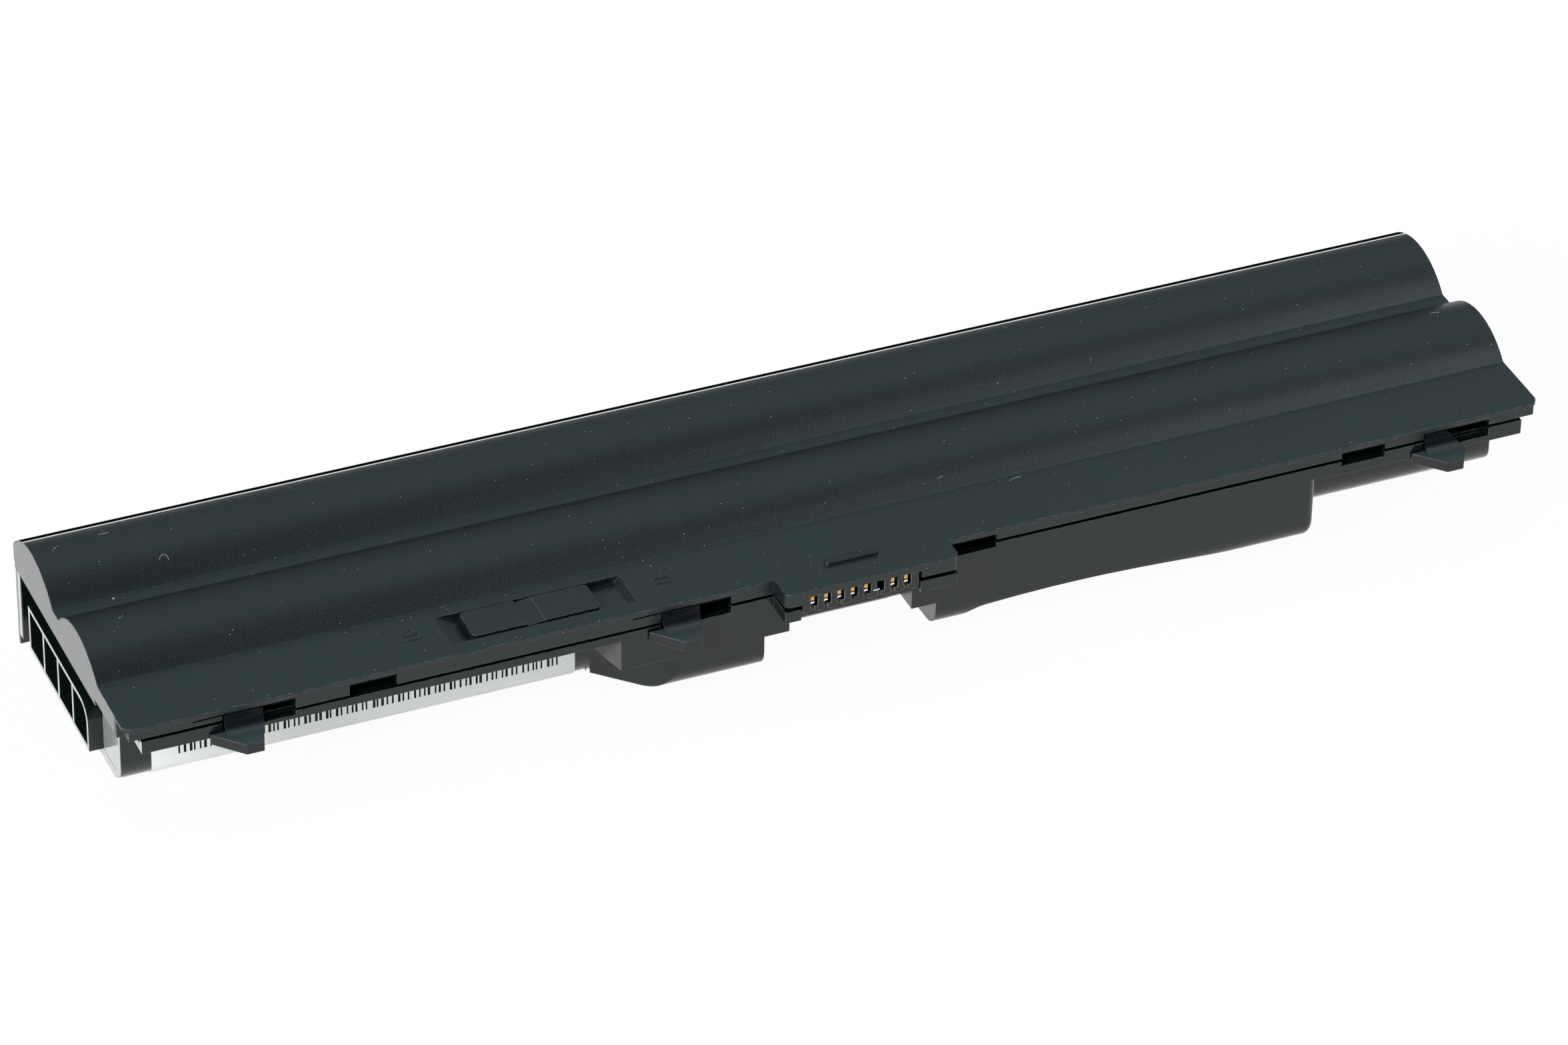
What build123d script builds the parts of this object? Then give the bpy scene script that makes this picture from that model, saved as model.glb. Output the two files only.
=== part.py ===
from build123d import *
import os

# Laptop battery pack: a two-part moulded case over two rows of round cells, with a slide latch
# that carries three hooks, a protection board and a connector in a nose at the front edge.
# Millimetres. X runs along the pack, +Y to the rear, +Z up, and the origin is under its middle.
# Names that end in _drop are depths below the flange top, and names that end in _reach are
# distances in front of the front row's axis.

# Cells
cell_diameter = 18.3
cell_length = 65.0
cells_in_row = 3
row_pitch = 19.2
cell_clearance = 0.15
joiner_gap = 0.6
end_gap = 0.5
crimp_width = 1.4
crimp_depth = 0.5
crimp_place = 3.6
cap_radius = 4.6
cap_height = 0.8

# Case section
hump_wall = 0.75
floor_thickness = 0.9
case_wall = 1.0
hump_rise = 3.45
hump_half = 8.0
rear_hump_half = 8.7
valley_drop = 0.2
flange_reach = 18.8
flange_thickness = 1.0
skirt_wall = 1.15
trough_corner = 2.0
trough_corner_drop = 14.8
floor_front_back = 1.5

# Case ends
end_overhang = 2.1
end_wall = 1.2
end_skirt = 3.1
end_wall_drop = 4.0
end_step_reach = 6.8
lower_end_wall = 1.8
end_recess_depth = 1.4
end_recess_reach = 8.0
lower_end_round = 0.5
end_wall_reach = 15.6
end_slit = 0.5
plan_corner = 1.5
rear_corner = 2.5
post_width = 2.7
post_inset = 0.2

# Rear rim of the upper shell
rim_width = 0.95
rim_drop = 2.1
groove_width = 0.5
groove_drop = 2.5
rear_foot_drop = 1.3
rear_wall_lift = 0.2

# Front edge: a lip round the flange, a skirt under it, a seam and the lower shell's ledge
lip_height = 0.55
lip_step = 0.25
lip_end_step = 0.7
seam_gap = 0.55
seam_end_drop = 1.95
seam_latch_drop = 2.7
seam_middle_drop = 2.3
front_setback = 0.3
ledge_top_drop = 3.2
ledge_bottom_drop = 4.4
ledge_right_drop = 4.7
ledge_end_inset = 2.4
ledge_lip = 0.8

# Slide latch
latch_travel = 4.2
slide_clearance = 0.3
hook_gap = 0.2
bar_front_reach = 16.4
bar_depth = 1.7
bar_top_drop = 1.9
bar_bottom_drop = 3.1
tab_thickness = 0.8
hook_width = 5.3
hook_left_inset = 16.4
hook_right_inset = 14.6
hook_middle_x = -24.8
stem_front_reach = 18.4
stem_top_drop = 1.4
stem_round = 1.7
plate_top_drop = 3.7
plate_thickness = 1.5
plate_reach = 22.6
plate_left = 2.1
plate_chamfer = 3.7
plate_taper = 1.3
plate_side_reach = 20.2
plate_corner = 0.3
gusset_cut = 2.0
slot_top_drop = 1.05
slot_bottom_drop = 3.8
slit_length = 4.0
slit_height = 0.25
knob_x = -44.25
knob_reach = 13.2
knob_length = 18.1
knob_width = 5.6
knob_proud = 0.15
knob_thickness = 0.85
knob_corner = 0.8
knob_dip = 0.35
knob_dip_length = 2.7
post_length = 6.0
post_depth = 2.4
pan_width = 6.3
pan_depth = 1.0
pan_floor = 0.5
pan_left_gap = 3.2
pan_right_gap = 0.7
pan_ramp_left = 3.1
pan_ramp_right = 0.9

# Plain notches in the front edge: left end and width
notch_width = 6.6
notch_left_inset = 31.0
notch_middle_x = 14.3
notch_right_inset = 30.0

# Connector nose
nose_reach = 22.7
nose_left = -11.6
nose_right = 13.6
nose_drop = 2.1
nose_bottom_drop = 4.7
nose_seam = 0.85
nose_corner = 1.0
comb_left = -9.2
comb_right = 8.1
comb_gap = 0.1
comb_right_gap = 0.45
pocket_x = -0.92
pocket_pitch = 1.929
pocket_count = 8
key_pocket = 5
pocket_width = 1.1
pocket_offset = 0.17
pocket_web = 1.5
pocket_bottom_drop = 2.75
slot_width = 0.42
tooth_drop = 3.6
tooth_round = 0.45
bar_mark_length = 7.8
bar_mark_width = 1.35
bar_mark_height = 0.5
bar_mark_round = 0.3
bar_mark_x = -0.15
bar_mark_reach = 17.75

# Board housing in front of the cells
housing_left = -33.4
housing_left_slant = 2.2
housing_right = 69.0
housing_drop = 7.2
bay_half = 8.9
bay_x = -0.3
shoulder_left_drop = 9.1
shoulder_right_drop = 10.2
deep_half = 12.5
deep_left = -26.3
deep_left_tail = 8.7
deep_left_drop = 14.6
deep_left_edge = 3.0
deep_drop = 14.5
deep_edge = 3.0
deep_back_reach = 9.0
deep_back_drop = 14.85
deep_end_round = 1.3
nose_round = 3.0
scoop_left = 16.3
scoop_run = 3.7
scoop_bulge = 0.55
scoop_middle = 40.0
scoop_right = 61.0
scoop_rise = 2.05
scoop_top_rise = 2.3
scoop_depth = 4.0

# Ribbed boxes in the recesses at the two ends
rib_box_front_reach = 2.8
rib_box_back = 22.0
rib_box_top_drop = 7.2
rib_box_bottom_drop = 14.3
rib_thickness = 0.6
rib_count = 3
rib_corner = 3.0
rib_inset = 0.1

# Board, contacts and leads
board_thickness = 0.8
board_top_drop = 4.35
board_left = -31.5
board_right = 66.0
board_width = 5.8
board_gap = 0.3
contact_width = 0.5
contact_thickness = 0.35
contact_bottom_drop = 2.6
strip_thickness = 0.2
strip_width = 8.0
card_thickness = 0.15
card_width = 17.0
card_sides = 8
lead_width = 3.2
foam_width = 2.2
foam_height = 1.3
label_thickness = 0.1
label_gap = 0.03
label_end_inset = 4.2
label_housing_gap = 1.1
label_top_drop = 6.0
label_tail = 2.6
# Parts on the board: for each body its middle along the pack, its length, width and height
board_parts = {
    "gauge_chip": ((28.0, 5.0, 3.6, 0.9),),
    "power_switches": ((40.0, 4.0, 3.4, 1.0), (46.0, 4.0, 3.4, 1.0)),
    "thermal_fuse": ((54.0, 4.6, 3.0, 1.3),),
    "sense_resistor": ((20.0, 4.0, 2.0, 0.6),),
    "capacitors": ((-14.0, 1.6, 0.8, 0.8), (-18.0, 1.6, 0.8, 0.8), (-22.0, 1.6, 0.8, 0.8)),
}

# Frame of the section, worked out from the sizes above
cell_radius = cell_diameter / 2
bore_radius = cell_radius + cell_clearance
axis_z = floor_thickness + bore_radius
crown_z = axis_z + bore_radius + hump_wall
flange_z = crown_z - hump_rise
depth = nose_reach + row_pitch + bore_radius + hump_wall
front_axis_y = nose_reach - depth / 2
rear_axis_y = front_axis_y + row_pitch
back_y = depth / 2
edge_y = front_axis_y - flange_reach
nose_y = front_axis_y - nose_reach
face_y = edge_y + front_setback
trough_y = front_axis_y - bore_radius - hump_wall
row_length = cells_in_row * cell_length + (cells_in_row - 1) * joiner_gap
lower_length = row_length + 2 * (end_gap + lower_end_wall)
case_length = lower_length + 2 * end_overhang
inner_length = case_length - 2 * end_wall
skirt_z = flange_z - end_skirt
rim_y = back_y - rim_width
groove_y = rim_y - groove_width
ledge_top_z = flange_z - ledge_top_drop
ledge_bottom_z = flange_z - ledge_bottom_drop
ledge_length = case_length - 2 * ledge_end_inset
hook_xs = (-case_length / 2 + hook_left_inset, hook_middle_x, case_length / 2 - hook_right_inset)
notch_xs = (-case_length / 2 + notch_left_inset, notch_middle_x, case_length / 2 - notch_right_inset)
# The skirt is deeper in some stretches of the front edge than in others
seam_zones = (
    (-case_length / 2, hook_xs[0], seam_end_drop),
    (hook_xs[0], hook_xs[1], seam_latch_drop),
    (hook_xs[1], nose_left, seam_middle_drop),
    (nose_left, comb_left, nose_drop),
    (comb_right, nose_right, nose_drop),
    (nose_right, case_length / 2, seam_end_drop),
)


def span(low, high):
    """Middle and size of a stretch, for a box between two places."""
    return (low + high) / 2, high - low


def block(x_pair, y_pair, z_pair, mode=Mode.ADD):
    """A box between two places along each axis, in the part that is being built."""
    x_mid, x_size = span(*x_pair)
    y_mid, y_size = span(*y_pair)
    z_mid, z_size = span(*z_pair)
    with Locations((x_mid, y_mid, z_mid)):
        Box(x_size, y_size, z_size, mode=mode)


def slot_range(hook_x):
    """Stretch of the front edge that a hook's stem sweeps, with its clearance."""
    left = hook_x - hook_width / 2 - slide_clearance
    right = hook_x + hook_width / 2 + latch_travel + slide_clearance
    return left, right


def finish(builder, name):
    """Name the finished piece and write it."""
    builder.part.label = name
    export_step(builder.part, f"parts/{name}.step")


os.makedirs("parts", exist_ok=True)

# Upper shell: flange, two long humps over the cells, rear rim, end walls and the connector's hood
with BuildPart() as upper_shell:
    with BuildSketch(Plane.YZ.offset(-case_length / 2)):
        with BuildLine():
            flange = Line((edge_y, flange_z), (front_axis_y - hump_half, flange_z))
            front_hump = ThreePointArc(
                flange @ 1,
                (front_axis_y, crown_z),
                (front_axis_y + hump_half, flange_z - valley_drop),
            )
            valley = Line(front_hump @ 1, (rear_axis_y - rear_hump_half, flange_z - valley_drop))
            rear_hump = ThreePointArc(
                valley @ 1,
                (rear_axis_y, crown_z),
                (groove_y, flange_z - rear_foot_drop),
            )
            Polyline(
                rear_hump @ 1,
                (groove_y, flange_z - groove_drop),
                (rim_y, flange_z - groove_drop),
                (rim_y, flange_z - rim_drop),
                (back_y, flange_z - rim_drop),
                (back_y, skirt_z),
                (edge_y, skirt_z),
                flange @ 0,
            )
        make_face()
    extrude(amount=case_length)
    upright = upper_shell.edges().filter_by(Axis.Z).group_by(Axis.Y)
    fillet(upright[0], plan_corner)
    fillet(upright[-1], rear_corner)
    # The hollow over the cells and behind the front skirt
    with BuildSketch(Plane.YZ.offset(-inner_length / 2)):
        hollow_y, hollow_width = span(edge_y + skirt_wall, rear_axis_y)
        hollow_z, hollow_height = span(skirt_z, flange_z - flange_thickness)
        with Locations((hollow_y, hollow_z)):
            Rectangle(hollow_width, hollow_height)
        with Locations((front_axis_y, axis_z), (rear_axis_y, axis_z)):
            Circle(bore_radius)
    extrude(amount=inner_length, mode=Mode.SUBTRACT)
    # Rear wall below the rim, and the posts at its two ends
    with BuildSketch(Plane.XY.offset(rear_wall_lift)) as rear_wall:
        wall_y, wall_depth = span(back_y - post_width, back_y)
        with Locations((0, wall_y)):
            Rectangle(case_length - 2 * post_inset, wall_depth)
        fillet(rear_wall.vertices().group_by(Axis.Y)[-1], rear_corner - post_inset)
        with Locations((0, wall_y - hump_wall)):
            Rectangle(lower_length + 2 * slide_clearance, wall_depth, mode=Mode.SUBTRACT)
    extrude(amount=skirt_z - rear_wall_lift)
    # End walls, deeper behind a small step
    end_step_y = front_axis_y - end_step_reach
    for side in (-1, 1):
        wall_ends = sorted((side * case_length / 2, side * inner_length / 2))
        block(wall_ends, (end_step_y, back_y - rear_corner), (flange_z - end_wall_drop, skirt_z))
    # The skirt's lower edge, stretch by stretch
    for zone_start, zone_end, drop in seam_zones:
        block(
            (zone_start, zone_end),
            (edge_y, edge_y + skirt_wall),
            (skirt_z, flange_z - drop),
            Mode.SUBTRACT,
        )
    # The lip that stands round the flange's front edge and corners
    lip_z = flange_z - lip_height
    case_ends = (-case_length / 2, case_length / 2)
    block(case_ends, (edge_y, edge_y + lip_step), (skirt_z, lip_z), Mode.SUBTRACT)
    end_wall_y = front_axis_y - end_wall_reach
    for side in (-1, 1):
        corner = sorted((side * case_length / 2, side * (case_length / 2 - lip_end_step)))
        inner = sorted((side * case_length / 2, side * inner_length / 2))
        block(corner, (edge_y, end_wall_y), (skirt_z, lip_z), Mode.SUBTRACT)
        block(inner, (edge_y, end_wall_y), (skirt_z, flange_z - seam_end_drop), Mode.SUBTRACT)
        block(inner, (end_wall_y - end_slit, end_wall_y), (skirt_z, lip_z), Mode.SUBTRACT)
    # Hood of the connector's nose
    with BuildSketch(Plane.XY.offset(flange_z)) as hood:
        hood_x, hood_width = span(nose_left, nose_right)
        hood_y, hood_depth = span(nose_y, edge_y + skirt_wall)
        with Locations((hood_x, hood_y)):
            Rectangle(hood_width, hood_depth)
        fillet(hood.vertices().group_by(Axis.Y)[0], nose_corner)
    extrude(amount=-nose_drop)
    block(
        (comb_left, comb_right),
        (nose_y, edge_y + skirt_wall),
        (skirt_z, flange_z - flange_thickness),
        Mode.SUBTRACT,
    )
    with BuildSketch(Plane.XY.offset(flange_z)):
        with Locations((bar_mark_x, front_axis_y - bar_mark_reach)):
            SlotOverall(bar_mark_length, bar_mark_width)
    extrude(amount=bar_mark_height)
    mark_z = flange_z + bar_mark_height
    mark_top = upper_shell.faces().filter_by(Plane.XY).filter_by_position(Axis.Z, mark_z, mark_z)
    fillet(mark_top.edges(), bar_mark_round)
    # Pan that the latch knob slides in, with ramped ends
    pan_left = knob_x - knob_length / 2 - pan_left_gap
    pan_right = knob_x + knob_length / 2 + latch_travel + pan_right_gap
    pan_y = front_axis_y - knob_reach
    pan_floor_z = flange_z - pan_depth
    pan_back_y = pan_y + pan_width / 2
    block(
        (pan_left - pan_floor, pan_right + pan_floor),
        (pan_y - pan_width / 2 - pan_floor, pan_back_y + pan_floor),
        (pan_floor_z - pan_floor, flange_z - flange_thickness / 2),
    )
    with BuildSketch(Plane.XZ.offset(-pan_back_y)):
        Polygon(
            (pan_left, flange_z),
            (pan_right, flange_z),
            (pan_right - pan_ramp_right, pan_floor_z),
            (pan_left + pan_ramp_left, pan_floor_z),
            align=None,
        )
    extrude(amount=pan_width, mode=Mode.SUBTRACT)
    post_half = post_length / 2 + slide_clearance
    block(
        (knob_x - post_half, knob_x + post_half + latch_travel),
        (pan_y - post_depth / 2 - slide_clearance, pan_y + post_depth / 2 + slide_clearance),
        (pan_floor_z - pan_floor, pan_floor_z),
        Mode.SUBTRACT,
    )
    # Slots for the hooks' stems, the slits beside them, and the plain notches
    slot_top_z = flange_z - slot_top_drop
    for hook_x in hook_xs:
        block(slot_range(hook_x), (edge_y, edge_y + skirt_wall), (skirt_z, slot_top_z), Mode.SUBTRACT)
    for hook_x in hook_xs[:2]:
        slit_end, _ = slot_range(hook_x)
        block(
            (slit_end - slit_length, slit_end),
            (edge_y, edge_y + skirt_wall),
            (slot_top_z - slit_height, slot_top_z),
            Mode.SUBTRACT,
        )
    for notch_x in notch_xs:
        block(
            (notch_x, notch_x + notch_width),
            (edge_y, edge_y + skirt_wall),
            (skirt_z, slot_top_z),
            Mode.SUBTRACT,
        )
finish(upper_shell, "upper_shell")

# Lower shell: trough for the cells, ledge under the flange, board housing and ribbed end boxes
floor_back_y = back_y - hump_wall - cell_clearance
trough_top_z = skirt_z - slide_clearance
wall_top_z = flange_z - flange_thickness - cell_clearance
with BuildPart() as lower_shell:
    with BuildSketch(Plane.YZ.offset(-lower_length / 2)):
        with BuildLine():
            outside = FilletPolyline(
                (trough_y, trough_top_z),
                (trough_y, flange_z - trough_corner_drop),
                (front_axis_y + floor_front_back, 0),
                (floor_back_y, 0),
                radius=trough_corner,
            )
            Polyline(outside @ 1, (floor_back_y, trough_top_z), outside @ 0)
        make_face()
    extrude(amount=lower_length)
    end_faces = lower_shell.faces().sort_by(Axis.X)
    for end_face in (end_faces[0], end_faces[-1]):
        fillet(end_face.edges().sort_by(Axis.Z)[0], lower_end_round)
    # Recess in each end, behind the front of the trough and above the floor
    for side in (-1, 1):
        recess_x = sorted((side * lower_length / 2, side * (lower_length / 2 - end_recess_depth)))
        block(
            recess_x,
            (front_axis_y - end_recess_reach, floor_back_y - hump_wall),
            (flange_z - rib_box_bottom_drop, trough_top_z),
            Mode.SUBTRACT,
        )
    # Board housing: a level floor across the connector's bay, shoulders beside it, deep blocks beyond
    housing_back_y = trough_y + hump_wall / 2
    block((housing_left, housing_right), (face_y, housing_back_y), (flange_z - housing_drop, ledge_top_z))
    left_shoulder_z = flange_z - shoulder_left_drop
    right_shoulder_z = flange_z - shoulder_right_drop
    block((bay_x + bay_half, housing_right), (face_y, housing_back_y), (right_shoulder_z, ledge_top_z))
    with BuildSketch(Plane.XY.offset(left_shoulder_z)):
        Polygon(
            (housing_left, face_y),
            (bay_x - bay_half, face_y),
            (bay_x - bay_half, housing_back_y),
            (housing_left - housing_left_slant, housing_back_y),
            align=None,
        )
    extrude(amount=ledge_top_z - left_shoulder_z)
    # Right deep block: front face, rounded lower edge and an underside that slopes back to the floor
    deep_z = flange_z - deep_drop
    deep_back_y = front_axis_y - deep_back_reach
    with BuildSketch(Plane.YZ.offset(bay_x + deep_half)):
        with BuildLine():
            front = FilletPolyline(
                (face_y, right_shoulder_z),
                (face_y, deep_z),
                (deep_back_y, flange_z - deep_back_drop),
                radius=deep_edge,
            )
            Polyline(front @ 1, (deep_back_y, right_shoulder_z), front @ 0)
        make_face()
    extrude(amount=housing_right - bay_x - deep_half)
    block_end = lower_shell.edges().filter_by_position(Axis.X, housing_right, housing_right)
    fillet(block_end.sort_by(Axis.Z)[0], deep_end_round)
    # Left deep block: level underside with a rounded front edge, swept back to the trough in plan
    left_deep_z = flange_z - deep_left_drop
    tail_x = deep_left - deep_left_tail
    with BuildSketch(Plane.YZ.offset(tail_x)):
        with BuildLine():
            left_front = FilletPolyline(
                (face_y, left_shoulder_z),
                (face_y, left_deep_z),
                (front_axis_y, left_deep_z),
                radius=deep_left_edge,
            )
            Polyline(left_front @ 1, (front_axis_y, left_shoulder_z), left_front @ 0)
        make_face()
    extrude(amount=bay_x - deep_half - tail_x)
    with BuildSketch(Plane.XY.offset(left_shoulder_z)):
        with BuildLine():
            sweep = FilletPolyline(
                (deep_left + nose_round, face_y),
                (deep_left, face_y),
                (tail_x, trough_y),
                radius=nose_round,
            )
            Polyline(
                sweep @ 1,
                (tail_x, face_y - case_wall),
                (deep_left + nose_round, face_y - case_wall),
                sweep @ 0,
            )
        make_face()
    extrude(amount=-left_shoulder_z, mode=Mode.SUBTRACT)
    # Shallow scoop under the right block's front edge, steep on the left and fading out to the right
    with BuildSketch(Plane.XZ.offset(-face_y - scoop_depth)):
        with BuildLine():
            scoop_start = Line((scoop_left, deep_z - deep_edge), (scoop_left, deep_z))
            scoop_side = SagittaArc(
                scoop_start @ 1,
                (scoop_left + scoop_run, deep_z + scoop_rise),
                scoop_bulge,
            )
            scoop_top = ThreePointArc(
                scoop_side @ 1,
                (scoop_middle, deep_z + scoop_top_rise),
                (scoop_right, deep_z),
            )
            Polyline(scoop_top @ 1, (scoop_right, deep_z - deep_edge), scoop_start @ 0)
        make_face()
    extrude(amount=scoop_depth + deep_edge, mode=Mode.SUBTRACT)
    # Ledge under the flange and the lip along its front, with the seam's gap above
    block((-ledge_length / 2, ledge_length / 2), (face_y, housing_back_y), (ledge_bottom_z, ledge_top_z))
    ledge_right_z = flange_z - ledge_right_drop
    block((housing_right, ledge_length / 2), (face_y, housing_back_y), (ledge_right_z, ledge_bottom_z))
    for zone_start, zone_end, drop in seam_zones:
        lip_top_z = flange_z - drop - seam_gap
        if lip_top_z > ledge_top_z:
            lip_start = max(zone_start, -ledge_length / 2)
            lip_end = min(zone_end, ledge_length / 2)
            block((lip_start, lip_end), (face_y, face_y + ledge_lip), (ledge_top_z, lip_top_z))
    # Wall between the cells and the latch, up to the flange's underside
    wall_pair = (trough_y, trough_y + hump_wall)
    block((-lower_length / 2, lower_length / 2), wall_pair, (trough_top_z, wall_top_z))
    block(
        (pan_left - case_wall, pan_right + case_wall),
        wall_pair,
        (pan_floor_z - pan_floor - cell_clearance, wall_top_z),
        Mode.SUBTRACT,
    )
    # Cheeks of the connector's nose below the seam
    cheek_z = (flange_z - nose_bottom_drop, flange_z - nose_drop - nose_seam)
    cheek_y = (nose_y + front_setback, face_y + case_wall)
    block((nose_left + comb_gap, comb_left), cheek_y, cheek_z)
    block((comb_right, nose_right - comb_gap), cheek_y, cheek_z)
    # Hollow for the cells: two bores, open above the joiner strips' lower edge
    cell_hollow = row_length + 2 * end_gap
    with BuildSketch(Plane.YZ.offset(-cell_hollow / 2)):
        open_y, open_width = span(front_axis_y - bore_radius, back_y)
        open_z, open_height = span(axis_z - strip_width / 2 - cell_clearance, wall_top_z)
        with Locations((open_y, open_z)):
            Rectangle(open_width, open_height)
        with Locations((front_axis_y, axis_z), (rear_axis_y, axis_z)):
            Circle(bore_radius)
    extrude(amount=cell_hollow, mode=Mode.SUBTRACT)
    # Hollow for the board, deeper in the two blocks, open at the top
    board_hollow_y = (face_y + case_wall, trough_y - hump_wall)
    hollow_floor_z = flange_z - housing_drop + case_wall
    with BuildSketch(Plane.XY.offset(hollow_floor_z)):
        Polygon(
            (housing_left + case_wall, board_hollow_y[0]),
            (housing_right - case_wall, board_hollow_y[0]),
            (housing_right - case_wall, board_hollow_y[1]),
            (housing_left - housing_left_slant + 2 * case_wall, board_hollow_y[1]),
            align=None,
        )
    extrude(amount=ledge_top_z - hollow_floor_z, mode=Mode.SUBTRACT)
    for hollow_x in (
        (deep_left + case_wall, bay_x - deep_half - case_wall),
        (bay_x + deep_half + case_wall, housing_right - case_wall),
    ):
        block(hollow_x, board_hollow_y, (deep_z + deep_edge, hollow_floor_z), Mode.SUBTRACT)
    # Posts that the board rests on
    board_z = flange_z - board_top_drop
    for post_x in (board_left + case_wall, bay_x - bay_half, bay_x + bay_half, board_right - case_wall):
        block(
            (post_x - case_wall / 2, post_x + case_wall / 2),
            board_hollow_y,
            (hollow_floor_z, board_z - board_thickness),
        )
    # Front opening behind the connector, and gaps in the inner wall for leads and joiners
    block(
        (comb_left, comb_right),
        (face_y, face_y + case_wall),
        (board_z - comb_gap, ledge_top_z),
        Mode.SUBTRACT,
    )
    joiner_xs = [
        row * (cell_length + joiner_gap) - row_length / 2 - joiner_gap / 2 for row in range(1, cells_in_row)
    ]
    lead_notch = lead_width / 2
    for gap_x in (*joiner_xs, lead_notch - cell_hollow / 2, cell_hollow / 2 - lead_notch):
        block(
            (gap_x - lead_notch, gap_x + lead_notch),
            (trough_y - hump_wall, trough_y + hump_wall),
            (ledge_top_z, wall_top_z),
            Mode.SUBTRACT,
        )
    # Slots for the hooks' stems and the plain notches
    for hook_x in hook_xs:
        block(
            slot_range(hook_x),
            (face_y, face_y + case_wall + slide_clearance),
            (flange_z - slot_bottom_drop, wall_top_z),
            Mode.SUBTRACT,
        )
    for notch_x in notch_xs:
        block(
            (notch_x, notch_x + notch_width),
            (face_y, face_y + ledge_lip),
            (ledge_top_z, wall_top_z),
            Mode.SUBTRACT,
        )
    # Ribbed boxes that fill the recesses under the upper shell's end walls
    box_y, box_width = span(front_axis_y - rib_box_front_reach, front_axis_y + rib_box_back)
    box_z, box_height = span(flange_z - rib_box_bottom_drop, flange_z - rib_box_top_drop)
    rib_depth = end_overhang + end_recess_depth - rib_inset
    rib_pitch = (box_width - rib_thickness) / (rib_count + 1)
    for side in (-1, 1):
        inner_x = side * (lower_length / 2 - end_recess_depth)
        with BuildSketch(Plane.YZ.offset(inner_x)) as rib_box:
            with Locations((box_y, box_z)):
                Rectangle(box_width, box_height)
            fillet(rib_box.vertices().group_by(Axis.X)[0].sort_by(Axis.Y)[-1:], rib_corner)
            offset(amount=-rib_thickness, mode=Mode.SUBTRACT)
        extrude(amount=side * rib_depth)
        with BuildSketch(Plane.YZ.offset(inner_x)):
            with Locations((box_y, box_z)):
                with GridLocations(rib_pitch, 0, rib_count, 1):
                    Rectangle(rib_thickness, box_height - rib_thickness)
        extrude(amount=side * rib_depth)
finish(lower_shell, "lower_shell")

# Latch bar: one moulding that runs behind the front edge and carries the three hooks
bar_front_y = front_axis_y - bar_front_reach
bar_back_y = bar_front_y + bar_depth
bar_top_z = flange_z - bar_top_drop
bar_bottom_z = flange_z - bar_bottom_drop
stem_y = front_axis_y - stem_front_reach
plate_y = front_axis_y - plate_reach
plate_back_y = face_y - hook_gap
plate_top_z = flange_z - plate_top_drop
plate_bottom_z = plate_top_z - plate_thickness
plate_side_y = front_axis_y - plate_side_reach
stem_top_z = flange_z - stem_top_drop
stem_bottom_z = flange_z - slot_bottom_drop + hook_gap
with BuildPart() as latch_bar:
    block(
        (hook_xs[0] - hook_width / 2, hook_xs[2] + hook_width / 2),
        (bar_front_y, bar_back_y),
        (bar_bottom_z, bar_top_z),
    )
    block(
        (knob_x - post_length / 2, knob_x + post_length / 2),
        (bar_front_y, pan_y + post_depth / 2),
        (bar_top_z - tab_thickness, bar_top_z),
    )
    for hook_x in hook_xs:
        stem_left = hook_x - hook_width / 2
        stem_right = hook_x + hook_width / 2
        # Stem through the slot, with a hollow curve down to the plate outside
        with BuildSketch(Plane.YZ.offset(stem_left)):
            with BuildLine():
                stem_front = FilletPolyline(
                    (stem_y, stem_top_z),
                    (stem_y, plate_top_z),
                    (plate_side_y, plate_top_z),
                    radius=stem_round,
                )
                Polyline(
                    stem_front @ 1,
                    (plate_side_y, plate_top_z - plate_thickness / 2),
                    (plate_back_y, plate_top_z - plate_thickness / 2),
                    (plate_back_y, stem_bottom_z),
                    (face_y + case_wall, stem_bottom_z),
                    (face_y + case_wall, bar_bottom_z),
                    (bar_front_y + slide_clearance, bar_bottom_z),
                    (bar_front_y + slide_clearance, stem_top_z),
                    stem_front @ 0,
                )
            make_face()
        extrude(amount=hook_width)
        # Plate in front of the case, with a long chamfer on the left
        with BuildSketch(Plane.XY.offset(plate_bottom_z)) as plate:
            Polygon(
                (stem_left - plate_left, plate_back_y),
                (stem_left - plate_left + plate_chamfer, plate_y),
                (stem_right, plate_y),
                (stem_right, plate_back_y),
                align=None,
            )
            fillet(plate.vertices().group_by(Axis.Y)[0].sort_by(Axis.X)[0], plate_corner)
        extrude(amount=plate_thickness)
        # Taper on the right of stem and plate, short on the last hook
        taper_y = plate_side_y if hook_x == hook_xs[-1] else plate_back_y
        with BuildSketch(Plane.XY.offset(plate_bottom_z)):
            Polygon(
                (stem_right, taper_y),
                (stem_right - plate_taper, plate_y),
                (stem_right, plate_y),
                align=None,
            )
        extrude(amount=stem_top_z - plate_bottom_z, mode=Mode.SUBTRACT)
    # The last hook's stem narrows towards its top
    last_stem_right = hook_xs[-1] + hook_width / 2
    with BuildSketch(Plane.XZ.offset(-bar_front_y)):
        Polygon(
            (last_stem_right, plate_top_z),
            (last_stem_right, stem_top_z),
            (last_stem_right - gusset_cut, stem_top_z),
            align=None,
        )
    extrude(amount=bar_front_y - plate_side_y, mode=Mode.SUBTRACT)
finish(latch_bar, "latch_bar")

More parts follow.
